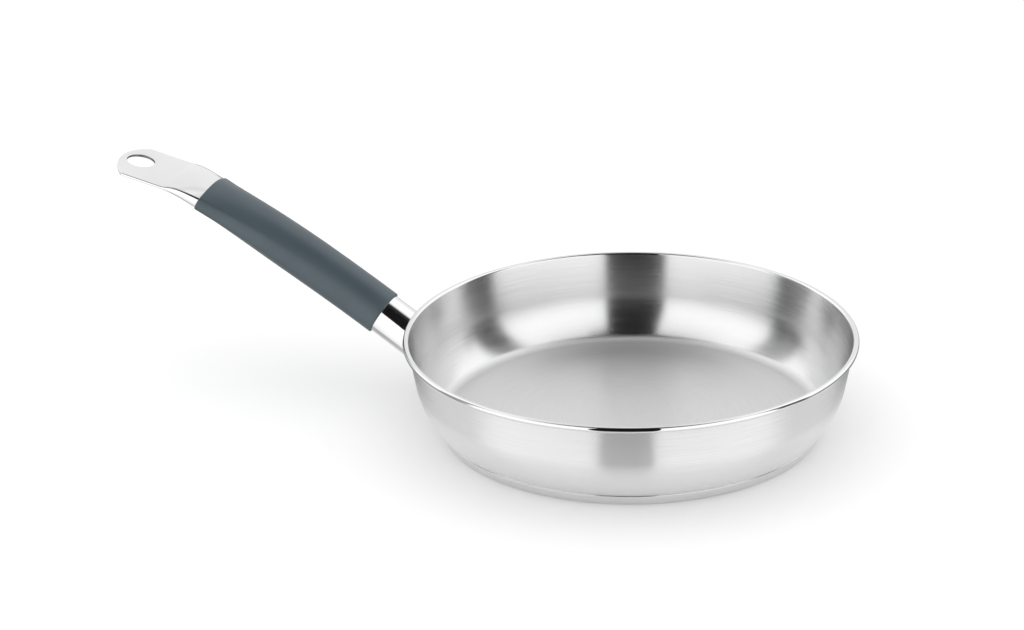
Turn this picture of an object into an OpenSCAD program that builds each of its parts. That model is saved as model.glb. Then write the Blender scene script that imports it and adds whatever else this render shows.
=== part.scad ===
// Frying pan: drawn steel bowl, bonded heat base, and a round tube handle that widens, is pressed
// flat into a hanging tab and wears a silicone sleeve.
// The origin is the centre of the base's underside. The handle points along -X.

/* [Bowl] */
// Diameter over the rolled rim
rim_d = 240; // [220:1:280]
// Height from the hob to the top of the rim
pan_h = 51.5; // [48:0.5:60]
// Thickness of the drawn sheet
wall_t = 0.8; // [0.6:0.1:1.2]
// Outer radius of the rolled pouring rim
curl_r = 1.6; // [1.5:0.1:2.2]
// Angle through which the rim's edge is rolled over
curl_turn = 240; // [180:5:260]
// Lean of the upper wall from upright, in degrees
wall_draft = 10.5; // [8:0.5:14]
// Outer radius of the wall's long belly curve
belly_r = 46; // [40:1:52]
// Outer radius where the wall turns into the floor
corner_r = 8; // [6:0.5:10]
// How far the rim stands out beyond the flat part of the floor
wall_run = 22.2; // [20:0.2:28]

/* [Base] */
// Thickness of the heat spreading disc
disc_t = 4.2; // [3:0.1:6]
// Thickness of the base cap's sheet
cap_t = 0.6; // [0.4:0.1:1]
// How far the cap's edge climbs the bowl above the disc
cap_climb = 1.2; // [0.8:0.1:2]
// Outer radius of the cap's bottom edge
cap_edge_r = 2; // [1.2:0.1:3]
// How far the cap's side leans out over its height
cap_lean = 1.4; // [0.5:0.1:2]
// Number of turned rings under the base
ring_n = 6; // [3:1:8]
// Radius of the smallest turned ring
ring_first_r = 16; // [10:1:30]
// Distance from the largest turned ring to the cap's rounded edge
ring_edge_gap = 18; // [5:1:25]
// Width of a turned ring
ring_w = 1.6; // [1:0.1:3]
// Depth of a turned ring
ring_depth = 0.2; // [0.1:0.05:0.3]

/* [Handle tube] */
// Diameter of the round tube where it leaves the bowl
tube_d = 22.7; // [20:0.1:26]
// Thickness of the tube's wall
tube_t = 0.8; // [0.6:0.1:1.2]
// Height of the tube's welded end, whose underside is squeezed up
root_h = 18; // [16:0.1:21]
// Length over which the underside is squeezed
root_run = 30; // [20:1:40]
// Height at which the tube's axis meets the bowl
root_z = 26.4; // [25:0.1:30]
// Slope of the handle where it leaves the bowl, in degrees
root_slope = 33.4; // [28:0.1:36]
// Radius of the handle's long downward bow
bow_r = 1220; // [800:10:2500]
// Length of the bowed grip part, measured from the wall
bow_l = 157.8; // [145:0.2:170]
// Length over which the tube widens, up to the tab
widen_l = 132.5; // [115:0.5:150]
// Length over which the tube is pressed flat, up to the tab
press_l = 99.2; // [85:0.2:120]

/* [Hanging tab] */
// Radius of the bend between grip and tab
bend_r = 48.4; // [30:0.2:60]
// Slope of the hanging tab, in degrees
tab_slope = 11.8; // [8:0.2:16]
// Width of the hanging tab
tab_w = 39.6; // [36:0.1:44]
// Length of the straight tab
tab_l = 33.8; // [30:0.2:45]
// How far the tab's middle stands above its two long edges
tab_crown = 1.2; // [0:0.1:2]
// Radius of the tab's rounded tip, seen from above
tip_r = 26.3; // [24:0.1:40]
// Diameter of the hanging hole
hole_d = 15.4; // [10:0.2:18]
// Distance from the tip to the middle of the hole
hole_inset = 11.2; // [10:0.2:16]

/* [Grip sleeve] */
// Thickness of the silicone sleeve
sleeve_t = 1.1; // [0.8:0.05:2]
// Length of bare tube between the bowl and the sleeve
sleeve_start = 33.4; // [25:0.2:40]
// Length of the sleeve
sleeve_l = 115.8; // [90:0.2:119]
// Radius of the sleeve's softened end edges
sleeve_edge_r = 0.6; // [0.3:0.1:0.8]
// Clearance between sleeve and tube
sleeve_gap = 0.1; // [0.05:0.05:0.3]

/* [Weld] */
// Width of the weld bead on the tube and on the wall
weld_w = 1.8; // [1:0.1:3]
// How far the weld bead swells beyond a straight fillet
weld_swell = 0.25; // [0:0.05:0.5]

/* [Hidden] */
$fn = 96;
overrun = 2;
per_rad = 180/PI;

// Steps along the curves of the bowl and the base
belly_steps = 20;
corner_steps = 8;
curl_steps = 16;
// Share of a turned ring's width that lies at its full depth
ring_floor_share = 0.5;

// Bowl profile: a straight leaning wall, a long belly arc and a tight corner arc, all tangent
rim_c = [rim_d/2 - curl_r, pan_h - curl_r];
wall_out_dir = [cos(wall_draft), -sin(wall_draft)];
wall_up_dir = [sin(wall_draft), cos(wall_draft)];
wall_top = rim_c - (curl_r - wall_t)*wall_out_dir;
floor_z = cap_t + disc_t;
floor_r = rim_d/2 - wall_run;
corner_c = [floor_r, floor_z + corner_r];
belly_from_top = wall_top - belly_r*wall_out_dir - corner_c;
belly_half = belly_from_top*wall_up_dir;
straight_l = belly_half - sqrt(belly_half^2 - belly_from_top*belly_from_top + (belly_r - corner_r)^2);
belly_c = wall_top - belly_r*wall_out_dir - straight_l*wall_up_dir;
belly_end = atan2(corner_c.y - belly_c.y, corner_c.x - belly_c.x);
belly_top_z = belly_c.y - belly_r*sin(wall_draft);

// Cap: its edge climbs the bowl's corner and its side stands on a rounded bottom edge
cap_h = floor_z + cap_climb;
cap_r = corner_at(cap_h);
cap_foot_r = cap_r - cap_lean;
cap_flat_r = cap_foot_r - cap_edge_r;
ring_pitch = (cap_flat_r - ring_edge_gap - ring_first_r)/(ring_n - 1);

// Handle line: long bow, short bend and straight tab, by length from the wall
bow_end_slope = root_slope - bow_l/bow_r*per_rad;
bend_l = (bow_end_slope - tab_slope)/per_rad*bend_r;
tab_from = bow_l + bend_l;
handle_l = tab_from + tab_l;
press_from = tab_from - press_l;
widen_from = tab_from - widen_l;
root = [wall_at(root_z), root_z];
bow_end = root + bow_r*[sin(root_slope) - sin(bow_end_slope), cos(bow_end_slope) - cos(root_slope)];
bend_end = bow_end + bend_r*[sin(bow_end_slope) - sin(tab_slope), cos(tab_slope) - cos(bow_end_slope)];
hole_from_wall = handle_l - hole_inset;
tab_half = tab_w/2;

// Points round the section: each quarter has fold points and then flat points
fold_n = 3;
flat_n = 6;
quarter_n = fold_n + flat_n;
section_n = 4*quarter_n;
// Powers of the widening curve and of the pressing curve, from round to flat
widen_power = 2;
press_power = 2.5;
close_power = 0.7;
spread_power = 1.3;
// The inside is modelled down to this share of the round tube's opening
closed_share = 0.09;
// Share of the tab over which its rings turn from straight to the tip's round
tip_share = 0.6;
// The tube's first whole ring lies clear of its coped end, and the squeeze ends where its top is coped
root_zone = tube_d;
root_free = tube_d/2;
root_share = 2*root_h/tube_d - 1;
cope_reach = tube_d + tube_d/2;
cope_turns = 24;
// Rings of points along the end, the bow, the pressed length, the tab and the sleeve, and its edge
root_rings = 4;
bow_rings = 3;
press_rings = 20;
tab_rings = 5;
sleeve_rings = 24;
edge_rings = 3;

function arc(centre, radius, from, to, steps) =
    [for (i = [0:steps]) let (a = from + (to - from)*i/steps) centre + radius*[cos(a), sin(a)]];

// Radius of the bowl's outside at a height, on its corner and on its wall
function corner_at(z) = corner_c.x + sqrt(corner_r^2 - (corner_c.y - z)^2);
function corner_under(r) = corner_c.y - sqrt(corner_r^2 - (r - corner_c.x)^2);
function wall_at(z) = z < belly_top_z
    ? belly_c.x + sqrt(belly_r^2 - (z - belly_c.y)^2)
    : wall_top.x + (z - wall_top.y)*tan(wall_draft);

// Place and slope of the handle line at a length from the wall, as distance out, height and slope
function line_slope(l) = l < bow_l ? root_slope - l/bow_r*per_rad
    : l < tab_from ? bow_end_slope - (l - bow_l)/bend_r*per_rad
    : tab_slope;
function line_at(l) = let (a = line_slope(l))
    l < bow_l ? root + bow_r*[sin(root_slope) - sin(a), cos(a) - cos(root_slope)]
    : l < tab_from ? bow_end + bend_r*[sin(bow_end_slope) - sin(a), cos(a) - cos(bow_end_slope)]
    : bend_end + (l - tab_from)*[cos(a), sin(a)];

// How far the section is widened and pressed: 0 where the tube is round, 1 where its walls meet
function wideness(l) = l <= widen_from ? 0
    : l >= tab_from ? 1
    : ((l - widen_from)/widen_l)^widen_power;
function flatness(l) = l <= press_from ? 0
    : l >= tab_from ? 1
    : 1 - (1 - ((l - press_from)/press_l)^press_power)^close_power;

// Share of the section's lower half that is left at a length near the bowl
function squeezed(l) = let (u = max(0, min(1, (root_free - l)/root_run)))
    1 - (1 - root_share)*(3 - 2*u)*u^2;

// Point j of a quarter of the section, on the round and on the flat, each grown outwards by off
function round_point(j, off) = let (a = 90*(j/quarter_n)^spread_power)
    (tube_d/2 + off)*[cos(a), sin(a)];
function flat_point(j, off) = j < fold_n
    ? [tab_half - tube_t, 0] + (tube_t + off)*[cos(90*j/fold_n), sin(90*j/fold_n)]
    : [(tab_half - tube_t)*(quarter_n - j)/flat_n, tube_t + off];
function quarter_point(j, off, w, f) = let (
    a = round_point(j, off),
    b = flat_point(j, off))
    [a.x + w*(b.x - a.x), a.y + f*(b.y - a.y)];
function section_point(i, off, w, f) = let (
    q = floor(i/quarter_n),
    j = i - q*quarter_n,
    p = quarter_point(q % 2 == 0 ? j : quarter_n - j, off, w, f))
    [p.x*(q == 0 || q == 3 ? 1 : -1), p.y*(q < 2 ? 1 : -1)];

// Point i of the section in space, at length l
function handle_point(i, off, l) = let (
    f = flatness(l),
    p = section_point(i, off, wideness(l), f),
    a = line_slope(l),
    up = p.y*(p.y < 0 ? squeezed(l) : 1) + f*tab_crown*(1 - (p.x/tab_half)^2),
    c = line_at(l) + up*[-sin(a), cos(a)])
    [-c.x, p.x, c.y];

// Length at which line i of the tube's surface meets the bowl, by halving
function past_wall(i, off, l) = let (p = handle_point(i, off, l)) norm([p.x, p.y]) > wall_at(p.z);
function cope(i, off, low, high, turns) = turns == 0 ? (low + high)/2
    : let (mid = (low + high)/2)
    past_wall(i, off, mid) ? cope(i, off, low, mid, turns - 1) : cope(i, off, mid, high, turns - 1);
function coped(i, off) = cope(i, off, -cope_reach, cope_reach, cope_turns);

// How far the rounded tip draws back at the side
function tip_drop(x) = tip_r - sqrt(tip_r^2 - min(abs(x), tip_r)^2);
function tip_length(i, off, l) = let (u = max(0, (l - handle_l)/(tab_l*tip_share) + 1))
    l - u*tip_drop(section_point(i, off, 1, 1).x);

// Rings of points along the handle
function ring(off, l) = [for (i = [0:section_n - 1]) handle_point(i, off, tip_length(i, off, l))];
function end_ring(off, u) = [for (i = [0:section_n - 1]) let (c = coped(i, off))
    handle_point(i, off, c + u*(root_zone - c))];
function coped_ring(off) = end_ring(off, 0);

// Faces between rings of n points, and a cap that joins a ring's top to its underside
function side_faces(rings, n) = [for (k = [0:rings - 2], i = [0:n - 1]) let (m = (i + 1) % n, a = k*n)
    each [[a + i, a + m, a + n + i], [a + m, a + n + m, a + n + i]]];
function cap_faces(a, n) = [for (i = [0:n/2 - 1])
    each concat([[a + i, a + (n - i) % n, a + i + 1]],
        i + 1 < n/2 ? [[a + i + 1, a + (n - i) % n, a + n - i - 1]] : [])];
function flipped(faces) = [for (t = faces) [t[0], t[2], t[1]]];
function joined(rings) = [for (r = rings) each r];

module bowl() {
    outside = concat([[0, floor_z]],
        arc(corner_c, corner_r, -90, belly_end, corner_steps),
        arc(belly_c, belly_r, belly_end, -wall_draft, belly_steps),
        arc(rim_c, curl_r - wall_t, 180 - wall_draft, 180 - wall_draft - curl_turn, curl_steps));
    inside = concat(
        arc(rim_c, curl_r, 180 - wall_draft - curl_turn, 180 - wall_draft, curl_steps),
        arc(belly_c, belly_r - wall_t, -wall_draft, belly_end, belly_steps),
        arc(corner_c, corner_r - wall_t, belly_end, -90, corner_steps),
        [[0, floor_z + wall_t]]);
    color("silver") rotate_extrude() polygon(concat(outside, inside));
}

// Outline of the space between bowl and cap, from its bottom corner up to the bowl's underside
function cap_inside() = concat(
    arc([cap_flat_r, cap_edge_r], cap_edge_r - cap_t, -90, 0, corner_steps),
    [[cap_r - cap_t, corner_under(cap_r - cap_t)]]);
function disc_top() = [for (i = [0:corner_steps]) let (
    r = cap_r - cap_t + (floor_r - cap_r + cap_t)*i/corner_steps)
    [r, corner_under(r)]];

module heat_disc() {
    color("lightgray") rotate_extrude()
        polygon(concat([[0, cap_t]], cap_inside(), disc_top(), [[0, floor_z]]));
}

module base_cap() {
    low = ring_w/2;
    high = low*ring_floor_share;
    rings = [for (k = [0:ring_n - 1]) let (r = ring_first_r + k*ring_pitch)
        each [[r - low, 0], [r - high, ring_depth], [r + high, ring_depth], [r + low, 0]]];
    inner = cap_inside();
    color("gainsboro") rotate_extrude() polygon(concat([[0, 0]], rings,
        arc([cap_flat_r, cap_edge_r], cap_edge_r, -90, 0, corner_steps),
        [[cap_r, cap_h]],
        [for (i = [len(inner) - 1:-1:0]) inner[i]],
        [[0, cap_t]]));
}

// Lengths at which the tube has a ring of points
bow_marks = [for (i = [0:bow_rings]) root_zone + (press_from - root_zone)*i/bow_rings];
press_marks = [for (i = [1:press_rings]) press_from + press_l*sin(90*i/press_rings)];
tab_marks = [for (i = [1:tab_rings]) tab_from + tab_l*i/tab_rings];
void_marks = [for (l = press_marks) if (1 - flatness(l) > closed_share) l];

module handle_tube() {
    outer = concat(bow_marks, press_marks, tab_marks);
    inner = concat(bow_marks, void_marks);
    rings = concat(
        [for (i = [len(inner) - 1:-1:0]) ring(-tube_t, inner[i])],
        [for (k = [root_rings - 1:-1:0]) end_ring(-tube_t, k/root_rings)],
        [for (k = [0:root_rings - 1]) end_ring(0, k/root_rings)],
        [for (l = outer) ring(0, l)]);
    last = (len(rings) - 1)*section_n;
    color("whitesmoke") difference() {
        polyhedron(joined(rings), concat(
            cap_faces(0, section_n),
            side_faces(len(rings), section_n),
            flipped(cap_faces(last, section_n))));
        hole_at = line_at(hole_from_wall);
        translate([-hole_at.x, 0, hole_at.y]) rotate([0, tab_slope, 0])
            translate([0, 0, -overrun]) cylinder(d = hole_d, h = tab_crown + 2*overrun);
    }
}

module weld_bead() {
    foot = weld_w + weld_swell;
    on_wall = coped_ring(weld_w);
    corner = coped_ring(0);
    on_tube = [for (i = [0:section_n - 1]) handle_point(i, 0, coped(i, 0) + weld_w)];
    swell = [for (i = [0:section_n - 1])
        handle_point(i, foot/2, (coped(i, weld_w) + coped(i, 0) + foot)/2)];
    rings = [corner, on_wall, swell, on_tube, corner];
    color("gray") polyhedron(joined([corner, on_wall, swell, on_tube]),
        [for (t = side_faces(len(rings), section_n)) [for (v = t) v % (4*section_n)]]);
}

module grip_sleeve() {
    end_l = sleeve_start + sleeve_l;
    inner_l = [for (i = [0:sleeve_rings]) sleeve_start + sleeve_l*i/sleeve_rings];
    outer_l = [for (i = [1:sleeve_rings - 1]) inner_l[i]];
    turn = [for (i = [0:edge_rings]) 90*i/edge_rings];
    off = sleeve_gap + sleeve_t - sleeve_edge_r;
    rings = concat(
        [for (i = [len(inner_l) - 1:-1:0]) ring(sleeve_gap, inner_l[i])],
        [for (a = turn) ring(off + sleeve_edge_r*sin(a), sleeve_start + sleeve_edge_r*(1 - cos(a)))],
        [for (l = outer_l) ring(off + sleeve_edge_r, l)],
        [for (a = turn) ring(off + sleeve_edge_r*cos(a), end_l - sleeve_edge_r*(1 - sin(a)))]);
    count = len(rings)*section_n;
    color("slategray") polyhedron(joined(rings),
        [for (t = side_faces(len(rings) + 1, section_n)) [for (v = t) v % count]]);
}

bowl();
heat_disc();
base_cap();
handle_tube();
weld_bead();
grip_sleeve();
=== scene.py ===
# Frying pan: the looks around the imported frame. Places are in metres in the frame's own axes,
# with the handle along -X and the pan standing on z = 0.
from math import atan2, cos, degrees, hypot, pi, radians, sin, sqrt, tan

import bmesh
import bpy
from mathutils import Matrix, Vector


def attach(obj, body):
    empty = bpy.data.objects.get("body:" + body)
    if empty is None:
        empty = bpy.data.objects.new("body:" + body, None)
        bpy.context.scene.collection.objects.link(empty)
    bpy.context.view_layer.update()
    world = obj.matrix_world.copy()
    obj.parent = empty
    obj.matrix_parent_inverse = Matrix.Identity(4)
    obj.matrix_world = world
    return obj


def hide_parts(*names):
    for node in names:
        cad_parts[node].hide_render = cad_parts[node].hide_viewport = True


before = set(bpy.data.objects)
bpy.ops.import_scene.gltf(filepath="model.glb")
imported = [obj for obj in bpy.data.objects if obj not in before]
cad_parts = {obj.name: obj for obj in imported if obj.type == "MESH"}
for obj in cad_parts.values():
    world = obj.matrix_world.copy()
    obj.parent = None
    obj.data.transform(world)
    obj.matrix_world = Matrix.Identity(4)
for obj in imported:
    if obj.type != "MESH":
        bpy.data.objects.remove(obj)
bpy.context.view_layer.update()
mm = 0.001
scene = bpy.context.scene

# Camera at the photograph's viewing angle
cameraLook = {
    "place": (624.53 * mm, -1731.4 * mm, 827.44 * mm),
    "heading": 21.7705,    # turned from +Y towards -X
    "dip": 22.5442,        # below level
    "roll": -0.9113,
    "lens": 133.434,
    "sensor": 36.0,
    "clip": (0.01, 50.0),
}


def makeCamera(look):
    data = bpy.data.cameras.new("camera")
    data.lens = look["lens"]
    data.sensor_width = look["sensor"]
    data.clip_start, data.clip_end = look["clip"]
    camera = bpy.data.objects.new("camera", data)
    turn = (Matrix.Rotation(radians(look["heading"]), 4, "Z")
            @ Matrix.Rotation(radians(90 - look["dip"]), 4, "X")
            @ Matrix.Rotation(radians(look["roll"]), 4, "Z"))
    camera.matrix_world = Matrix.Translation(look["place"]) @ turn
    scene.collection.objects.link(camera)
    scene.camera = camera


makeCamera(cameraLook)
print("camera placed")


# Node helpers
def addNode(tree, kind, inputs=None, **settings):
    node = tree.nodes.new(kind)
    for key, value in settings.items():
        setattr(node, key, value)
    for key, value in (inputs or {}).items():
        if isinstance(value, bpy.types.NodeSocket):
            tree.links.new(value, node.inputs[key])
        else:
            node.inputs[key].default_value = value
    return node


def mathNode(tree, operation, a, b=0.0, c=0.0):
    return addNode(tree, "ShaderNodeMath", {0: a, 1: b, 2: c}, operation=operation).outputs[0]


def vectorNode(tree, operation, a, b=(0, 0, 0), output=0):
    return addNode(tree, "ShaderNodeVectorMath", {0: a, 1: b}, operation=operation).outputs[output]


def rangeNode(tree, value, fromLow, fromHigh, toLow, toHigh, smooth=False):
    node = addNode(tree, "ShaderNodeMapRange", {0: value, 1: fromLow, 2: fromHigh, 3: toLow, 4: toHigh})
    if smooth:
        node.interpolation_type = "SMOOTHSTEP"
    return node.outputs[0]


def mixNode(tree, share, under, over):
    return addNode(tree, "ShaderNodeMix", {0: share, 2: under, 3: over}).outputs[0]


def rampNode(tree, value, stops):
    node = addNode(tree, "ShaderNodeValToRGB", {0: value})
    ramp = node.color_ramp
    while len(ramp.elements) < len(stops):
        ramp.elements.new(0.5)
    for element, (place, shade) in zip(ramp.elements, stops):
        element.position = place
        colour = shade if isinstance(shade, tuple) else (shade, shade, shade)
        element.color = (*colour, 1)
    return node.outputs[0]


def startGroup(name, inputs, outputs):
    tree = bpy.data.node_groups.new(name, "ShaderNodeTree")
    for label, kind, value in inputs:
        socket = tree.interface.new_socket(label, in_out="INPUT", socket_type=kind)
        if value is not None:
            socket.default_value = value
    for label, kind in outputs:
        tree.interface.new_socket(label, in_out="OUTPUT", socket_type=kind)
    return tree, tree.nodes.new("NodeGroupInput"), tree.nodes.new("NodeGroupOutput")


noiseSpan = (0.3, 0.7)     # where most of a noise texture's values lie
hazeSpan = (0.35, 0.75)    # leaves clear metal between the hazy patches


# Fine turned lines that run round the pan's axis, and slow patches
def makeTurnedLines():
    tree, given, put = startGroup("turnedLines", [
        ("Vector", "NodeSocketVector", None),
        ("Lines per metre", "NodeSocketFloat", 2500.0),
        ("Wander", "NodeSocketFloat", 5.0),
    ], [("Lines", "NodeSocketFloat"), ("Patches", "NodeSocketFloat")])
    parts = addNode(tree, "ShaderNodeSeparateXYZ", {0: given.outputs["Vector"]})
    flat = addNode(tree, "ShaderNodeCombineXYZ", {0: parts.outputs[0], 1: parts.outputs[1]}).outputs[0]
    reach = vectorNode(tree, "LENGTH", flat, output=1)
    across = mathNode(tree, "ADD", reach, parts.outputs[2])
    along = mathNode(tree, "MULTIPLY", across, given.outputs["Lines per metre"])
    heading = vectorNode(tree, "NORMALIZE", flat)
    spread = addNode(tree, "ShaderNodeVectorMath", {0: heading, "Scale": given.outputs["Wander"]},
                     operation="SCALE").outputs[0]
    lift = addNode(tree, "ShaderNodeCombineXYZ", {2: along}).outputs[0]
    place = vectorNode(tree, "ADD", spread, lift)
    fine = addNode(tree, "ShaderNodeTexNoise", {
        "Vector": place, "Scale": 1.0, "Detail": 2.0, "Roughness": 0.55})
    tree.links.new(fine.outputs[0], put.inputs["Lines"])
    slow = addNode(tree, "ShaderNodeTexNoise", {
        "Vector": given.outputs["Vector"], "Scale": 18.0, "Detail": 2.0})
    tree.links.new(slow.outputs[0], put.inputs["Patches"])
    return tree


# Soft wiping haze and hairline marks on polished metal
def makeWipedHaze():
    tree, given, put = startGroup("wipedHaze", [
        ("Vector", "NodeSocketVector", None),
        ("Size", "NodeSocketFloat", 30.0),
    ], [("Haze", "NodeSocketFloat"), ("Hairlines", "NodeSocketFloat")])
    haze = addNode(tree, "ShaderNodeTexNoise", {
        "Vector": given.outputs["Vector"], "Scale": given.outputs["Size"], "Detail": 3.0, "Roughness": 0.5})
    tree.links.new(rangeNode(tree, haze.outputs[0], *hazeSpan, 0.0, 1.0), put.inputs["Haze"])
    drawn = addNode(tree, "ShaderNodeMapping", {
        "Vector": given.outputs["Vector"], "Scale": (60, 2600, 2600)})    # drawn out along the handle
    hair = addNode(tree, "ShaderNodeTexNoise", {"Vector": drawn.outputs[0], "Scale": 1.0, "Detail": 2.0})
    tree.links.new(hair.outputs[0], put.inputs["Hairlines"])
    return tree


turnedLines = makeTurnedLines()
wipedHaze = makeWipedHaze()


def startMaterial(name):
    material = bpy.data.materials.new(name)
    material.use_nodes = True
    tree = material.node_tree
    shader = tree.nodes["Principled BSDF"]
    place = addNode(tree, "ShaderNodeTexCoord").outputs["Object"]
    return material, tree, shader, place


def bumpInto(tree, shader, height, strength, distance):
    bump = addNode(tree, "ShaderNodeBump", {"Strength": strength, "Distance": distance, "Height": height})
    tree.links.new(bump.outputs[0], shader.inputs["Normal"])


# Turned lines all over. A look may also have a coarser lower part and an edge that is polished smooth
def brushedSteel(name, look):
    material, tree, shader, place = startMaterial(name)
    grain = addNode(tree, "ShaderNodeGroup", {
        "Vector": place, "Lines per metre": look["lines"], "Wander": look["wander"],
    }, node_tree=turnedLines).outputs
    shade = rampNode(tree, grain["Lines"], [(0.25, look["dark"]), (0.75, look["light"])])
    tree.links.new(shade, shader.inputs["Base Color"])
    relief = grain["Lines"]
    rough = rangeNode(tree, relief, *noiseSpan, *look["roughness"])
    rough = mathNode(tree, "MULTIPLY_ADD", grain["Patches"], look["patchiness"], rough)
    height = addNode(tree, "ShaderNodeSeparateXYZ", {0: place}).outputs[2]
    shader.inputs["Anisotropic"].default_value = look["anisotropic"]
    if "coarseZ" in look:
        low = rangeNode(tree, height, *look["coarseZ"], 1.0, 0.0, True)
        rough = mathNode(tree, "MULTIPLY_ADD", low, look["coarser"], rough)
        smear = mixNode(tree, low, look["anisotropic"], look["coarseAnisotropic"])
        tree.links.new(smear, shader.inputs["Anisotropic"])
    if "polishZ" in look:
        reach = vectorNode(tree, "LENGTH", vectorNode(tree, "MULTIPLY", place, (1, 1, 0)), output=1)
        above = rangeNode(tree, height, *look["polishZ"], 0.0, 1.0, True)
        beyond = rangeNode(tree, reach, *look["polishR"], 0.0, 1.0, True)
        polished = mathNode(tree, "MAXIMUM", above, beyond)
        rough = mixNode(tree, polished, rough, look["polish"])
        relief = mathNode(tree, "MULTIPLY", relief, mathNode(tree, "SUBTRACT", 1.0, polished))
    tree.links.new(rough, shader.inputs["Roughness"])
    bumpInto(tree, shader, relief, look["bump"], look["bumpDepth"])
    shader.inputs["Metallic"].default_value = 1.0
    shader.inputs["Anisotropic Rotation"].default_value = look["turn"]
    tangent = addNode(tree, "ShaderNodeTangent", direction_type="RADIAL", axis="Z")
    tree.links.new(tangent.outputs[0], shader.inputs["Tangent"])
    return material


# Bright metal with wiping haze. The punched hole's wall, round centre along across, is left unpolished, and
# its colour is darkened with painted shade
def polishedSteel(name, look, centre, across):
    material, tree, shader, place = startMaterial(name)
    wiped = addNode(tree, "ShaderNodeGroup", {
        "Vector": place, "Size": look["hazeSize"]}, node_tree=wipedHaze).outputs
    shade = rampNode(tree, wiped["Haze"], [(0.0, look["light"]), (1.0, look["dark"])])
    aside = vectorNode(tree, "CROSS_PRODUCT", vectorNode(tree, "SUBTRACT", place, centre), across)
    reach = vectorNode(tree, "LENGTH", aside, output=1)
    edge = handle["holeD"] / 2
    # The hole's wall gets rougher cut metal and a dark colour that is painted shade
    cutAndShade = rangeNode(tree, reach, edge, edge + look["cutReach"], 1.0, 0.0, True)
    mix = addNode(tree, "ShaderNodeMix", {0: cutAndShade, 6: shade, 7: (*look["cutAndShade"], 1)}, data_type="RGBA")
    tree.links.new(mix.outputs[2], shader.inputs["Base Color"])
    rough = rangeNode(tree, wiped["Haze"], 0.0, 1.0, *look["roughness"])
    tree.links.new(mixNode(tree, cutAndShade, rough, look["cutRough"]), shader.inputs["Roughness"])
    bumpInto(tree, shader, wiped["Hairlines"], look["bump"], look["bumpDepth"])
    shader.inputs["Metallic"].default_value = 1.0
    return material


# Profiles are drawn in the XZ plane as a chain of lines and arcs, then spun about Z
def lineTo(bm, corner, x, z):
    grown = bmesh.ops.extrude_vert_indiv(bm, verts=[corner])["verts"][0]
    grown.co = (x, 0, z)
    return grown


def arcTo(bm, corner, centre, turn, steps):
    made = bmesh.ops.spin(bm, geom=[corner], cent=(centre[0], 0, centre[1]), axis=(0, -1, 0),
                          dvec=(0, 0, 0), angle=radians(turn), steps=steps, use_merge=False,
                          use_normal_flip=False, use_duplicate=False)
    return [part for part in made["geom_last"] if isinstance(part, bmesh.types.BMVert)][0]


def spinProfile(bm, steps):
    bmesh.ops.spin(bm, geom=bm.verts[:] + bm.edges[:], cent=(0, 0, 0), axis=(0, 0, 1),
                   dvec=(0, 0, 0), angle=2 * pi, steps=steps, use_merge=True,
                   use_normal_flip=False, use_duplicate=False)
    bmesh.ops.remove_doubles(bm, verts=bm.verts[:], dist=0.001 * mm)


def ringEdges(row):
    held = set(row)
    return [edge for edge in {e for v in row for e in v.link_edges} if all(v in held for v in edge.verts)]


# Rings of points are set out along a piece, each grown from the one before by an extrusion
def growRings(rings):
    bm = bmesh.new()
    row = bmesh.ops.create_circle(bm, cap_ends=False, segments=len(rings[0]), radius=1)["verts"]
    for corner, point in zip(row, rings[0]):
        corner.co = point
    rows = [row]
    for ring in rings[1:]:
        held = set(row)
        grown = bmesh.ops.extrude_edge_only(bm, edges=ringEdges(row))["geom"]
        fresh = {part for part in grown if isinstance(part, bmesh.types.BMVert)}
        after = {edge.other_vert(v): v for v in fresh for edge in v.link_edges
                 if edge.other_vert(v) in held}
        row = [after[v] for v in row]
        for corner, point in zip(row, ring):
            corner.co = point
        rows.append(row)
    return bm, rows


def finishPiece(bm, name, material, node, sharp):
    bmesh.ops.recalc_face_normals(bm, faces=bm.faces[:])
    mesh = bpy.data.meshes.new(name)
    bm.to_mesh(mesh)
    bm.free()
    mesh.shade_smooth()
    mesh.set_sharp_from_angle(angle=radians(sharp))
    mesh.materials.append(material)
    piece = bpy.data.objects.new(name, mesh)
    scene.collection.objects.link(piece)
    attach(piece, "root")
    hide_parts(node)
    print(name, "made with", len(mesh.polygons), "faces")


# Bowl: flat floor, tight corner, long belly, straight leaning wall and rolled pouring rim
bowl = {
    "rimR": 120 * mm, "height": 51.5 * mm, "wall": 0.8 * mm, "curlR": 1.6 * mm, "curlTurn": 240,
    "draft": 10.5, "bellyR": 46 * mm, "cornerR": 8 * mm, "floorR": 97.8 * mm, "floorZ": 4.8 * mm,
    "turns": 288, "cornerSteps": 10, "bellySteps": 26, "curlSteps": 24, "sharp": 40,
}
bowlSteel = {
    "lines": 2300.0, "wander": 3.0, "dark": (0.78, 0.78, 0.785), "light": (0.85, 0.85, 0.85),
    "roughness": (0.18, 0.23), "patchiness": 0.02, "bump": 0.045, "bumpDepth": 0.02 * mm,
    "anisotropic": 0.9, "turn": 0.25,
    "coarseZ": (6 * mm, 9 * mm), "coarser": 0.28, "coarseAnisotropic": 0.18,
    "polishZ": (50.6 * mm, 50.9 * mm), "polishR": (118.5 * mm, 118.7 * mm), "polish": 0.06,
}
rimCentre = (bowl["rimR"] - bowl["curlR"], bowl["height"] - bowl["curlR"])
outward = Vector((cos(radians(bowl["draft"])), -sin(radians(bowl["draft"]))))
upWall = Vector((sin(radians(bowl["draft"])), cos(radians(bowl["draft"]))))
wallTop = Vector(rimCentre) - (bowl["curlR"] - bowl["wall"]) * outward
cornerCentre = Vector((bowl["floorR"], bowl["floorZ"] + bowl["cornerR"]))
toBelly = wallTop - bowl["bellyR"] * outward - cornerCentre
bellyHalf = toBelly.dot(upWall)
straightWall = bellyHalf - sqrt(
    bellyHalf ** 2 - toBelly.dot(toBelly) + (bowl["bellyR"] - bowl["cornerR"]) ** 2)
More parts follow.
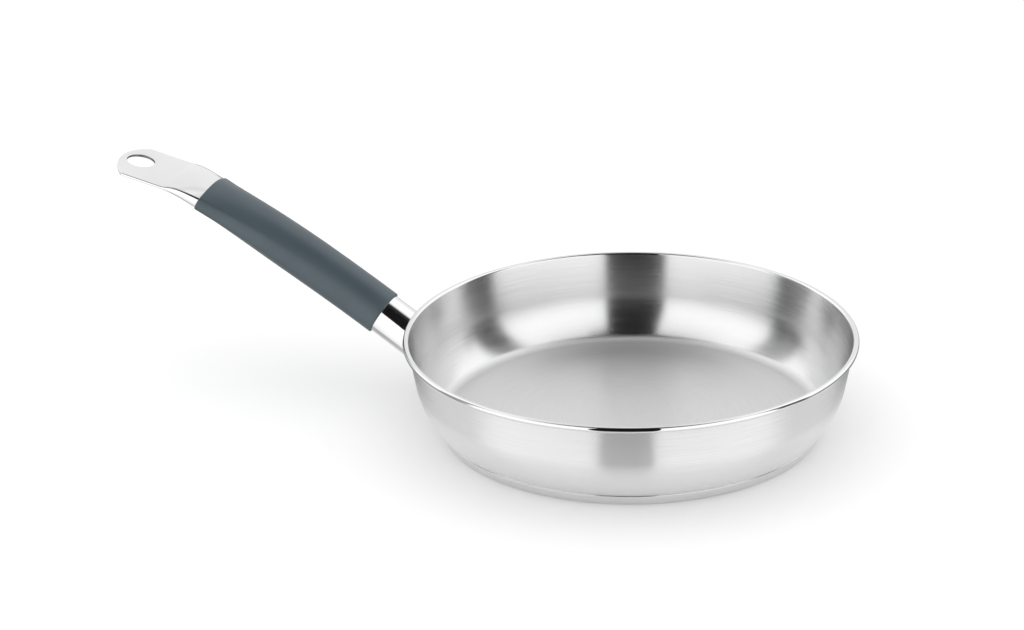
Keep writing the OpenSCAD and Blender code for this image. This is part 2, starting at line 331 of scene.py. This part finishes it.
bellyCentre = wallTop - bowl["bellyR"] * outward - straightWall * upWall
bellyEnd = degrees(atan2(cornerCentre.y - bellyCentre.y, cornerCentre.x - bellyCentre.x))
bellyTopZ = bellyCentre.y - bowl["bellyR"] * sin(radians(bowl["draft"]))


def wallAt(z):
    if z < bellyTopZ:
        return bellyCentre.x + sqrt(bowl["bellyR"] ** 2 - (z - bellyCentre.y) ** 2)
    return wallTop.x + (z - wallTop.y) * tan(radians(bowl["draft"]))


def makeBowl(size, look):
    bm = bmesh.new()
    at = bm.verts.new((0, 0, size["floorZ"]))
    at = lineTo(bm, at, size["floorR"], size["floorZ"])
    at = arcTo(bm, at, cornerCentre, 90 + bellyEnd, size["cornerSteps"])
    at = arcTo(bm, at, bellyCentre, -size["draft"] - bellyEnd, size["bellySteps"])
    at = lineTo(bm, at, *wallTop)
    at = arcTo(bm, at, rimCentre, -size["curlTurn"], size["curlSteps"])
    edgeAngle = radians(180 - size["draft"] - size["curlTurn"])
    at = lineTo(bm, at, rimCentre[0] + size["curlR"] * cos(edgeAngle),
                rimCentre[1] + size["curlR"] * sin(edgeAngle))
    at = arcTo(bm, at, rimCentre, size["curlTurn"], size["curlSteps"])
    inWall = bellyCentre + (size["bellyR"] - size["wall"]) * outward
    at = lineTo(bm, at, *inWall)
    at = arcTo(bm, at, bellyCentre, size["draft"] + bellyEnd, size["bellySteps"])
    at = arcTo(bm, at, cornerCentre, -90 - bellyEnd, size["cornerSteps"])
    lineTo(bm, at, 0, size["floorZ"] + size["wall"])
    spinProfile(bm, size["turns"])
    finishPiece(bm, "bowlBody", brushedSteel("bowlSteel", look), "bowl", size["sharp"])


makeBowl(bowl, bowlSteel)

# Base cap: pressed over the heat disc, with turned rings underneath
cap = {
    "sheet": 0.6 * mm, "climb": 1.2 * mm, "edgeR": 2 * mm, "lean": 1.4 * mm,
    "lipR": 0.45 * mm, "lipDrop": 0.15 * mm, "lipWidth": 1.4 * mm,
    "rings": 6, "firstRing": 16 * mm, "ringGap": 18 * mm, "ringWidth": 1.6 * mm, "ringDepth": 0.2 * mm,
    "turns": 256, "steps": 10, "sharp": 30,
}
capSteel = {
    "lines": 2600.0, "wander": 3.0, "dark": (0.68, 0.68, 0.685), "light": (0.78, 0.78, 0.78),
    "roughness": (0.16, 0.23), "patchiness": 0.04, "bump": 0.15, "bumpDepth": 0.02 * mm,
    "anisotropic": 0.7, "turn": 0.25,
    # Only its lip is polished, as the second range lies beyond the cap
    "polishZ": (5.35 * mm, 5.65 * mm), "polishR": (200 * mm, 201 * mm), "polish": 0.08,
}


def makeCap(size, look):
    top = bowl["floorZ"] + size["climb"]
    outR = cornerCentre.x + sqrt(bowl["cornerR"] ** 2 - (cornerCentre.y - top) ** 2)
    footR = outR - size["lean"]
    flatR = footR - size["edgeR"]
    pitch = (flatR - size["ringGap"] - size["firstRing"]) / (size["rings"] - 1)
    bm = bmesh.new()
    at = bm.verts.new((0, 0, 0))
    # Each ring is a shallow groove with sloping sides
    for i in range(size["rings"]):
        middle = size["firstRing"] + i * pitch
        for side, lift in ((-0.5, 0), (-0.25, size["ringDepth"]), (0.25, size["ringDepth"]), (0.5, 0)):
            at = lineTo(bm, at, middle + side * size["ringWidth"], lift)
    at = lineTo(bm, at, flatR, 0)
    at = arcTo(bm, at, (flatR, size["edgeR"]), 90, size["steps"])
    lipTop = top - size["lipDrop"]
    at = lineTo(bm, at, outR, lipTop - size["lipR"])
    at = arcTo(bm, at, (outR - size["lipR"], lipTop - size["lipR"]), 90, size["steps"])
    inR = outR - size["lipWidth"]
    under = cornerCentre.y - sqrt(bowl["cornerR"] ** 2 - (inR - cornerCentre.x) ** 2)
    at = lineTo(bm, at, inR, under)
    at = lineTo(bm, at, flatR + size["edgeR"] - size["sheet"], size["edgeR"])
    at = arcTo(bm, at, (flatR, size["edgeR"]), -90, size["steps"])
    lineTo(bm, at, 0, size["sheet"])
    spinProfile(bm, size["turns"])
    finishPiece(bm, "baseCap", brushedSteel("capSteel", look), "base_cap", size["sharp"])


makeCap(cap, capSteel)

# Handle line and section: a round tube on a long bow, widened and pressed flat towards the hanging tab
handle = {
    "tubeD": 22.7 * mm, "wall": 0.8 * mm, "rootH": 18 * mm, "rootRun": 30 * mm, "rootZ": 26.4 * mm,
    "rootSlope": 33.4, "bowR": 1220 * mm, "bowLength": 157.8 * mm, "widenLength": 132.5 * mm,
    "pressLength": 99.2 * mm, "bendR": 48.4 * mm, "tabSlope": 11.8, "tabWidth": 39.6 * mm,
    "tabLength": 33.8 * mm, "crown": 1.2 * mm, "tipR": 26.3 * mm, "tipShare": 0.6,
    "holeD": 15.4 * mm, "holeInset": 11.2 * mm, "foldSteps": 6, "flatSteps": 12,
    "widenPower": 2, "pressPower": 2.5, "closePower": 0.7, "spreadPower": 1.3,
    "copeReach": 35 * mm, "copeHalvings": 30,    # how the meeting with the wall is searched for
}
tabHalf = handle["tabWidth"] / 2
bowEndSlope = handle["rootSlope"] - degrees(handle["bowLength"] / handle["bowR"])
bendLength = radians(bowEndSlope - handle["tabSlope"]) * handle["bendR"]
tabFrom = handle["bowLength"] + bendLength
handleLength = tabFrom + handle["tabLength"]
pressFrom = tabFrom - handle["pressLength"]
quarterSteps = handle["foldSteps"] + handle["flatSteps"]
sectionSteps = 4 * quarterSteps


def swing(radius, fromSlope, toSlope):
    a, b = radians(fromSlope), radians(toSlope)
    return radius * Vector((sin(a) - sin(b), cos(b) - cos(a)))


root = Vector((wallAt(handle["rootZ"]), handle["rootZ"]))
bowEnd = root + swing(handle["bowR"], handle["rootSlope"], bowEndSlope)
bendEnd = bowEnd + swing(handle["bendR"], bowEndSlope, handle["tabSlope"])


# run is the length along the handle's line, from the bowl's wall on
def lineSlope(run):
    if run < handle["bowLength"]:
        return handle["rootSlope"] - degrees(run / handle["bowR"])
    if run < tabFrom:
        return bowEndSlope - degrees((run - handle["bowLength"]) / handle["bendR"])
    return handle["tabSlope"]


def lineAt(run):
    slope = lineSlope(run)
    if run < handle["bowLength"]:
        return root + swing(handle["bowR"], handle["rootSlope"], slope)
    if run < tabFrom:
        return bowEnd + swing(handle["bendR"], bowEndSlope, slope)
    return bendEnd + (run - tabFrom) * Vector((cos(radians(slope)), sin(radians(slope))))


# How far the section has widened, from 0 to 1
def wideness(run):
    return min(max((run - tabFrom) / handle["widenLength"] + 1, 0), 1) ** handle["widenPower"]


# How far it is pressed flat, from 0 to 1
def flatness(run):
    share = min(max((run - pressFrom) / handle["pressLength"], 0), 1)
    return 1 - (1 - share ** handle["pressPower"]) ** handle["closePower"]


# What the squeezed end keeps of its lower half's depth
def squeezed(run):
    share = min(max((handle["tubeD"] / 2 - run) / handle["rootRun"], 0), 1)
    return 1 - (2 - 2 * handle["rootH"] / handle["tubeD"]) * (3 - 2 * share) * share ** 2


# Point i of a section, off outside the tube's own skin, between the round tube's and the flat tab's
def sectionPoint(i, off, wide, flat):
    quarter, step = divmod(i, quarterSteps)
    j = step if quarter % 2 == 0 else quarterSteps - step
    a = pi / 2 * (j / quarterSteps) ** handle["spreadPower"]
    t = handle["wall"]
    wholeRound = (handle["tubeD"] / 2 + off) * Vector((cos(a), sin(a)))
    if j < handle["foldSteps"]:
        fold = pi / 2 * j / handle["foldSteps"]
        pressed = Vector((tabHalf - t + (t + off) * cos(fold), (t + off) * sin(fold)))
    else:
        pressed = Vector(((tabHalf - t) * (quarterSteps - j) / handle["flatSteps"], t + off))
    x = wholeRound.x + wide * (pressed.x - wholeRound.x)
    y = wholeRound.y + flat * (pressed.y - wholeRound.y)
    return Vector((x if quarter in (0, 3) else -x, y if quarter < 2 else -y))


def onHandle(x, up, run):
    slope = radians(lineSlope(run))
    out = lineAt(run) + up * Vector((-sin(slope), cos(slope)))
    return Vector((-out.x, x, out.y))


def handlePoint(i, off, run):
    flat = flatness(run)
    point = sectionPoint(i, off, wideness(run), flat)
    crown = flat * handle["crown"] * (1 - (point.x / tabHalf) ** 2)
    return onHandle(point.x, point.y * (squeezed(run) if point.y < 0 else 1) + crown, run)


# Where line i of the tube meets the bowl's wall
def coped(i, off):
    low, high = -handle["copeReach"], handle["copeReach"]
    for _ in range(handle["copeHalvings"]):
        middle = (low + high) / 2
        point = handlePoint(i, off, middle)
        if hypot(point.x, point.y) > wallAt(point.z):
            high = middle
        else:
            low = middle
    return high


# Sections near the tip bend into its round end
def tipLength(i, run):
    share = max(0, (run - handleLength) / (handle["tabLength"] * handle["tipShare"]) + 1)
    side = min(abs(sectionPoint(i, 0, 1, 1).x), handle["tipR"])
    return run - share * (handle["tipR"] - sqrt(handle["tipR"] ** 2 - side ** 2))


def handleRing(off, run):
    return [handlePoint(i, off, tipLength(i, run)) for i in range(sectionSteps)]


def endRing(off, share):
    ends = [coped(i, off) for i in range(sectionSteps)]
    return [handlePoint(i, off, end + share * (handle["tubeD"] - end)) for i, end in enumerate(ends)]


def spaced(start, end, count):
    return [start + (end - start) * i / count for i in range(1, count + 1)]


tube = {
    "rootRings": 10, "bowRings": 12, "pressRings": 50, "bendRings": 12, "tabRings": 8, "holeBlock": 6,
    "bendLead": 6 * mm, "tipRound": 0.45 * mm, "tipSteps": 3, "holeRound": 0.3 * mm, "holeSteps": 3,
    "openTo": 120 * mm,    # the tube is hollow as far as this
    "sharp": 50,
}
tubeSteel = {
    "light": (0.88, 0.88, 0.88), "dark": (0.83, 0.83, 0.83), "roughness": (0.05, 0.09), "hazeSize": 34.0,
    # The hole wall's dark colour is painted shade on rougher cut metal
    "bump": 0.04, "bumpDepth": 0.01 * mm, "cutAndShade": (0.24, 0.24, 0.25), "cutRough": 0.5, "cutReach": 0.12 * mm,
}


def makeTube(size, look):
    holeAt = handleLength - handle["holeInset"]
    cell = (tabHalf - handle["wall"]) / handle["flatSteps"]
    block = size["holeBlock"] * cell
    bendFrom = handle["bowLength"] - size["bendLead"]
    marks = [handle["tubeD"]] + spaced(handle["tubeD"], pressFrom, size["bowRings"])
    marks += spaced(pressFrom, bendFrom, size["pressRings"])
    marks += spaced(bendFrom, tabFrom, size["bendRings"])
    marks += spaced(tabFrom, holeAt - block, size["tabRings"])
    blockFrom = len(marks) - 1
    marks += spaced(holeAt - block, holeAt + block, 2 * size["holeBlock"])
    marks.append(handleLength - size["tipRound"])
    inside = [handleRing(-handle["wall"], run) for run in reversed(marks) if run < size["openTo"]]
    ends = [k / size["rootRings"] for k in range(size["rootRings"])]
    rings = inside + [endRing(-handle["wall"], share) for share in reversed(ends)]
    rings += [endRing(0, share) for share in ends]
    blockFrom += len(rings)
    rings += [handleRing(0, run) for run in marks]
    give = size["tipRound"]
    for a in spaced(0, 90, size["tipSteps"]):
        rings.append(handleRing(-give * (1 - cos(radians(a))), handleLength - give * (1 - sin(radians(a)))))
    bm, rows = growRings(rings)
    bmesh.ops.holes_fill(bm, edges=ringEdges(rows[-1]), sides=0)
    bmesh.ops.holes_fill(bm, edges=ringEdges(rows[0]), sides=0)
    # The hole: a block of faces goes from both sheets and a round edge takes its place
    rims = []
    for side, middle in ((1, quarterSteps), (-1, 3 * quarterSteps)):
        near = range(middle - size["holeBlock"], middle + size["holeBlock"] + 1)
        held = {row[i] for row in rows[blockFrom:blockFrom + 2 * size["holeBlock"] + 1] for i in near}
        within = [f for f in {f for v in held for f in v.link_faces} if all(v in held for v in f.verts)]
        border = [e for e in {e for f in within for e in f.edges}
                  if sum(f in within for f in e.link_faces) == 1]
        bmesh.ops.delete(bm, geom=within, context="FACES")
        made = bmesh.ops.create_circle(
            bm, cap_ends=False, segments=len(border), radius=handle["holeD"] / 2)["verts"]
        for corner in made:
            x, along = corner.co.x, corner.co.y
            up = handle["crown"] * (1 - (x / tabHalf) ** 2) + side * handle["wall"]
            corner.co = onHandle(x, up, holeAt + along)
        rim = ringEdges(made)
        bmesh.ops.bridge_loops(bm, edges=border + rim)
        rims += rim
    bmesh.ops.bridge_loops(bm, edges=rims)
    bmesh.ops.bevel(bm, geom=rims, offset=size["holeRound"], segments=size["holeSteps"], profile=0.5,
                    affect="EDGES", material=-1)
    centre = onHandle(0, handle["crown"], holeAt)
    across = (onHandle(0, 1, holeAt) - onHandle(0, 0, holeAt)).normalized()
    steel = polishedSteel("tubeSteel", look, centre, across)
    finishPiece(bm, "handleTube", steel, "handle_tube", size["sharp"])


makeTube(tube, tubeSteel)

# Grip sleeve: stretched silicone with softened end edges
sleeve = {
    "thickness": 1.1 * mm, "gap": 0.1 * mm, "start": 33.4 * mm, "length": 115.8 * mm, "edgeR": 0.6 * mm,
    "rings": 60, "edgeSteps": 6, "sharp": 50,
}
sleeveSkin = {
    "colour": (0.034, 0.065, 0.083), "deep": (0.027, 0.053, 0.069), "roughness": (0.40, 0.48),
    "bump": 0.10, "bumpDepth": 0.05 * mm, "shine": 1.0, "cloudScale": 40.0, "toothScale": 4200.0,
}


def siliconeSkin(name, look):
    material, tree, shader, place = startMaterial(name)
    cloudy = addNode(tree, "ShaderNodeTexNoise", {
        "Vector": place, "Scale": look["cloudScale"], "Detail": 3.0})
    shade = rampNode(tree, cloudy.outputs[0], list(zip(noiseSpan, (look["deep"], look["colour"]))))
    tree.links.new(shade, shader.inputs["Base Color"])
    fine = addNode(tree, "ShaderNodeTexNoise", {
        "Vector": place, "Scale": look["toothScale"], "Detail": 2.0})
    rough = rangeNode(tree, fine.outputs[0], *noiseSpan, *look["roughness"])
    tree.links.new(rough, shader.inputs["Roughness"])
    bumpInto(tree, shader, fine.outputs[0], look["bump"], look["bumpDepth"])
    shader.inputs["Specular IOR Level"].default_value = look["shine"]
    return material


def makeSleeve(size, look):
    end = size["start"] + size["length"]
    outer = size["gap"] + size["thickness"]
    turn = [90 * i / size["edgeSteps"] for i in range(size["edgeSteps"] + 1)]
    give = size["edgeR"]
    rings = [handleRing(size["gap"], run) for run in [end] + spaced(end, size["start"], size["rings"])]
    rings += [handleRing(outer - give * (1 - sin(radians(a))), size["start"] + give * (1 - cos(radians(a))))
              for a in turn]
    marks = spaced(size["start"] + give, end - give, size["rings"])
    rings += [handleRing(outer, run) for run in marks[:-1]]
    rings += [handleRing(outer - give * (1 - cos(radians(a))), end - give * (1 - sin(radians(a))))
              for a in turn]
    bm, rows = growRings(rings)
    bmesh.ops.bridge_loops(bm, edges=ringEdges(rows[0]) + ringEdges(rows[-1]))
    silicone = siliconeSkin("sleeveSilicone", look)
    finishPiece(bm, "gripSleeve", silicone, "grip_sleeve", size["sharp"])


makeSleeve(sleeve, sleeveSkin)

# Weld bead between the tube's coped end and the wall, with its small ripples
weld = {
    "width": 1.8 * mm, "swell": 0.5 * mm, "ripples": 54, "ripple": 0.12 * mm, "rippleLean": 0.6,
    "steps": 6, "sharp": 60,
}
weldSteel = {
    "lines": 900.0, "wander": 60.0, "dark": (0.30, 0.29, 0.28), "light": (0.55, 0.54, 0.52),
    "roughness": (0.28, 0.42), "patchiness": 0.1, "bump": 0.3, "bumpDepth": 0.05 * mm,
    "anisotropic": 0.0, "turn": 0.0,
}


def makeWeld(size, look):
    onWall = [handlePoint(i, size["width"], coped(i, size["width"])) for i in range(sectionSteps)]
    corner = [handlePoint(i, 0, coped(i, 0)) for i in range(sectionSteps)]
    onTube = [handlePoint(i, 0, coped(i, 0) + size["width"]) for i in range(sectionSteps)]
    rings = [corner, onWall]
    for k in range(1, size["steps"]):
        share = k / size["steps"]
        ring = []
        for i in range(sectionSteps):
            straight = onWall[i].lerp(onTube[i], share)
            away = (straight - corner[i]).normalized()
            wave = sin(2 * pi * (i / sectionSteps * size["ripples"] + share * size["rippleLean"]))
            ring.append(straight + away * sin(pi * share) * (size["swell"] + size["ripple"] * wave))
        rings.append(ring)
    rings.append(onTube)
    bm, rows = growRings(rings)
    bmesh.ops.bridge_loops(bm, edges=ringEdges(rows[0]) + ringEdges(rows[-1]))
    finishPiece(bm, "weldBead", brushedSteel("weldSteel", look), "weld_bead", size["sharp"])


makeWeld(weld, weldSteel)

# The sealed heat disc keeps its CAD shape
discMetal = {
    "lines": 1200.0, "wander": 3.0, "dark": (0.62, 0.62, 0.63), "light": (0.74, 0.74, 0.75),
    "roughness": (0.35, 0.5), "patchiness": 0.05, "bump": 0.1, "bumpDepth": 0.02 * mm,
    "anisotropic": 0.0, "turn": 0.0,
}
discMaterial = brushedSteel("discAluminium", discMetal)
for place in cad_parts["heat_disc"].material_slots:
    place.material = discMaterial
print("heat disc given its metal")

# Studio: pale floor, light from all round and a dark flag on the camera's side. Only reflections show
# the flag and the light's pattern. Angles are in degrees, up from level or round from the camera's side
studio = {
    "floorSize": 12.0, "floorColour": 0.92, "floorLift": 0.07, "glossyLift": 0.13,
    "floorEnds": (0.104, 0.168), "matte": 0.9,
    "flagOff": 1.075, "flagLean": 10.0,
    "flagOutline": [(-0.5, -4.0), (0.36, -4.0), (0.25, 0.2), (0.26, 1.1), (0.55, 1.4), (0.55, 3.05),
                    (-0.3, 3.05), (-0.31, 1.0), (-0.36, 0.3)],
    # The flag's shade from its foot up to the floor's height: pale low down, then black
    "flagFoot": -4.0, "flagLight": [(0.0, 0.8), (0.55, 0.55), (0.76, 0.48), (0.86, 0.01)],
    # Light by height on the camera's side and behind, where bright adds to it
    "front": [(-90, 0.72), (-60, 0.74), (-53, 0.8), (-46, 1.0), (-38, 1.12), (-28, 1.15), (0, 1.3),
              (25, 1.3), (40, 1.15), (55, 0.95), (66, 0.85), (80, 0.4), (90, 0.2)],
    "back": [(-90, 0.5), (-52, 0.45), (-46, 0.6), (-38, 0.85), (-32, 0.8), (-27, 0.22), (-12, 0.22),
             (0, 0.94), (58, 0.94), (70, 0.75), (80, 0.4), (90, 0.2)],
    "backFrom": (85.0, 95.0), "bright": 0.32, "brightTo": (142.0, 156.0), "brightUp": (0.0, 15.0),
    # A gap's middle, its half width, its light, and 0 for the first bounce or 1 for later ones
    "gaps": [(85, 10, 0.1, 0), (-95, 11, 0.42, 0), (-6, 22, 0.02, 1)],
    "gapSoft": 3.0, "gapFoot": (-20.0, -8.0), "gapTop": (35.0, 52.0), "gapTopShare": 0.3,
    "ceilingUp": (55.0, 57.0), "ceilingEnds": (0.05, 0.15), "ceilingShade": 0.03,
    "againFrom": 1.5, "againLight": 0.82,
    "farAt": 175.0, "farHalf": 29.0, "farSoft": 4.5837, "farTop": (54.0, 62.0), "farShade": 0.05,
    "plainUp": (-10.0, 60.0), "plainLight": (0.85, 1.2),
}
cameraSide = atan2(cameraLook["place"][1], cameraLook["place"][0])


def stageObject(name, mesh, material):
    mesh.materials.append(material)
    made = bpy.data.objects.new(name, mesh)
    scene.collection.objects.link(made)
    return made


def startMatte(name, look):
    material, tree, shader, place = startMaterial(name)
    shader.inputs["Roughness"].default_value = look["matte"]
    shader.inputs["Specular IOR Level"].default_value = 0.0
    return material, tree, shader, place


def makeFloor(look):
    bm = bmesh.new()
    bmesh.ops.create_grid(bm, x_segments=1, y_segments=1, size=look["floorSize"] / 2)
    mesh = bpy.data.meshes.new("floor")
    bm.to_mesh(mesh)
    bm.free()
    material, tree, shader, place = startMatte("paleFloor", look)
    shader.inputs["Base Color"].default_value = (look["floorColour"],) * 3 + (1,)
    # A little of its own light, for the camera and for reflections alone, keeps it pale
    path = addNode(tree, "ShaderNodeLightPath")
    shader.inputs["Emission Color"].default_value = (1, 1, 1, 1)
    seen = mathNode(tree, "MULTIPLY", path.outputs["Is Glossy Ray"], look["glossyLift"])
    lift = mathNode(tree, "MULTIPLY_ADD", path.outputs["Is Camera Ray"], look["floorLift"], seen)
    tree.links.new(lift, shader.inputs["Emission Strength"])
    # Reflections look past the floor a little way off the pan
    reach = vectorNode(tree, "LENGTH", place, output=1)
    far = rangeNode(tree, reach, *look["floorEnds"], 0.0, 1.0, True)
    past = mathNode(tree, "MULTIPLY", far, path.outputs["Is Glossy Ray"])
    clear = addNode(tree, "ShaderNodeBsdfTransparent")
    mix = addNode(tree, "ShaderNodeMixShader", {0: past, 1: shader.outputs[0], 2: clear.outputs[0]})
    tree.links.new(mix.outputs[0], tree.nodes["Material Output"].inputs[0])
    stageObject("floor", mesh, material)


def makeFlag(look):
    towards = Vector((cos(cameraSide), sin(cameraSide), 0))
    aside = Vector((-sin(cameraSide), cos(cameraSide), 0))
    bm = bmesh.new()
    corners = []
    for side, z in look["flagOutline"]:
        off = look["flagOff"] - z * tan(radians(look["flagLean"]))
        corners.append(bm.verts.new(towards * off + aside * side + Vector((0, 0, z))))
    bm.faces.new(corners)
    mesh = bpy.data.meshes.new("cameraFlag")
    bm.to_mesh(mesh)
    bm.free()
    material, tree, shader, place = startMatte("blackFlag", look)
    height = addNode(tree, "ShaderNodeSeparateXYZ", {0: place}).outputs[2]
    rise = rangeNode(tree, height, look["flagFoot"], 0.0, 0.0, 1.0)
    tree.links.new(rampNode(tree, rise, look["flagLight"]), shader.inputs["Base Color"])
    flag = stageObject("cameraFlag", mesh, material)
    flag.visible_camera = False
    flag.visible_diffuse = False
    flag.visible_shadow = False


def angleNode(tree, value, fromAngle, toAngle, toLow, toHigh, smooth=True):
    return rangeNode(tree, value, radians(fromAngle), radians(toAngle), toLow, toHigh, smooth)


# 1 within half of centre, going round, and 0 outside
def sectorNode(tree, around, centre, half, soft):
    off = mathNode(tree, "WRAP", mathNode(tree, "SUBTRACT", around, radians(centre)), pi, -pi)
    return angleNode(tree, mathNode(tree, "ABSOLUTE", off), half - soft, half + soft, 1.0, 0.0)


def lightCurve(tree, up, spots):
    node = addNode(tree, "ShaderNodeFloatCurve", {1: angleNode(tree, up, -90, 90, 0.0, 1.0, smooth=False)})
    node.mapping.use_clip = False
    points = node.mapping.curves[0].points
    for k, (angle, light) in enumerate(spots):
        point = points[k] if k < 2 else points.new(0.5, 0.5)
        point.location = (angle / 180 + 0.5, light)
        point.handle_type = "VECTOR"
    node.mapping.update()
    return node.outputs[0]


def makeWorld(look):
    world = bpy.data.worlds.new("studioLight")
    scene.world = world
    world.use_nodes = True
    world.cycles.sampling_method = "NONE"
    tree = world.node_tree
    tree.nodes.clear()
    towards = addNode(tree, "ShaderNodeTexCoord").outputs["Generated"]
    turned = addNode(tree, "ShaderNodeVectorRotate", {
        "Vector": towards, "Angle": -cameraSide}, rotation_type="Z_AXIS")
    parts = addNode(tree, "ShaderNodeSeparateXYZ", {0: turned.outputs[0]})
    around = mathNode(tree, "ARCTAN2", parts.outputs[1], parts.outputs[0])
    aside = mathNode(tree, "ABSOLUTE", around)
    up = mathNode(tree, "ARCSINE", parts.outputs[2])
    path = addNode(tree, "ShaderNodeLightPath")
    again = mathNode(tree, "GREATER_THAN", path.outputs["Glossy Depth"], look["againFrom"])
    # Light by height, on the camera's side and behind, where both sides are brighter than the middle
    boost = mathNode(tree, "MULTIPLY", angleNode(tree, aside, *look["brightTo"], look["bright"], 0.0),
                     angleNode(tree, up, *look["brightUp"], 0.0, 1.0))
    back = lightCurve(tree, up, look["back"])
    back = mathNode(tree, "MULTIPLY_ADD", back, boost, back)
    behind = angleNode(tree, aside, *look["backFrom"], 0.0, 1.0)
    shade = mixNode(tree, behind, lightCurve(tree, up, look["front"]), back)
    shade = mathNode(tree, "MULTIPLY", shade, rangeNode(tree, again, 0.0, 1.0, 1.0, look["againLight"]))
    # Dark gaps between the lights
    tall = mathNode(tree, "MULTIPLY", angleNode(tree, up, *look["gapFoot"], 0.0, 1.0),
                    angleNode(tree, up, *look["gapTop"], 1.0, look["gapTopShare"]))
    for centre, half, dark, bounce in look["gaps"]:
        gap = mathNode(tree, "MULTIPLY", sectorNode(tree, around, centre, half, look["gapSoft"]), tall)
        counts = rangeNode(tree, again, 1.0 - bounce, bounce, 0.0, 1.0)
        shade = mixNode(tree, mathNode(tree, "MULTIPLY", gap, counts), shade, dark)
    # Dark ceiling that begins a little towards the camera
    ceiling = mathNode(tree, "MULTIPLY", angleNode(tree, up, *look["ceilingUp"], 0.0, 1.0),
                       rangeNode(tree, parts.outputs[0], *look["ceilingEnds"], 0.0, 1.0, True))
    shade = mixNode(tree, ceiling, shade, look["ceilingShade"])
    # What the bowl's walls show each other is dark straight behind the pan
    far = sectorNode(tree, around, look["farAt"], look["farHalf"], look["farSoft"])
    far = mathNode(tree, "MULTIPLY", far, angleNode(tree, up, *look["farTop"], 1.0, 0.0))
    shade = mixNode(tree, mathNode(tree, "MULTIPLY", far, again), shade, look["farShade"])
    # Surfaces that aren't glossy get plain light, a little brighter from above
    plain = angleNode(tree, up, *look["plainUp"], *look["plainLight"], smooth=False)
    shade = mixNode(tree, path.outputs["Is Glossy Ray"], plain, shade)
    glow = addNode(tree, "ShaderNodeBackground", {"Color": (1, 1, 1, 1), "Strength": shade})
    out = addNode(tree, "ShaderNodeOutputWorld")
    tree.links.new(glow.outputs[0], out.inputs[0])


makeFloor(studio)
makeFlag(studio)
makeWorld(studio)
print("studio lit")

scene.view_settings.view_transform = "Standard"
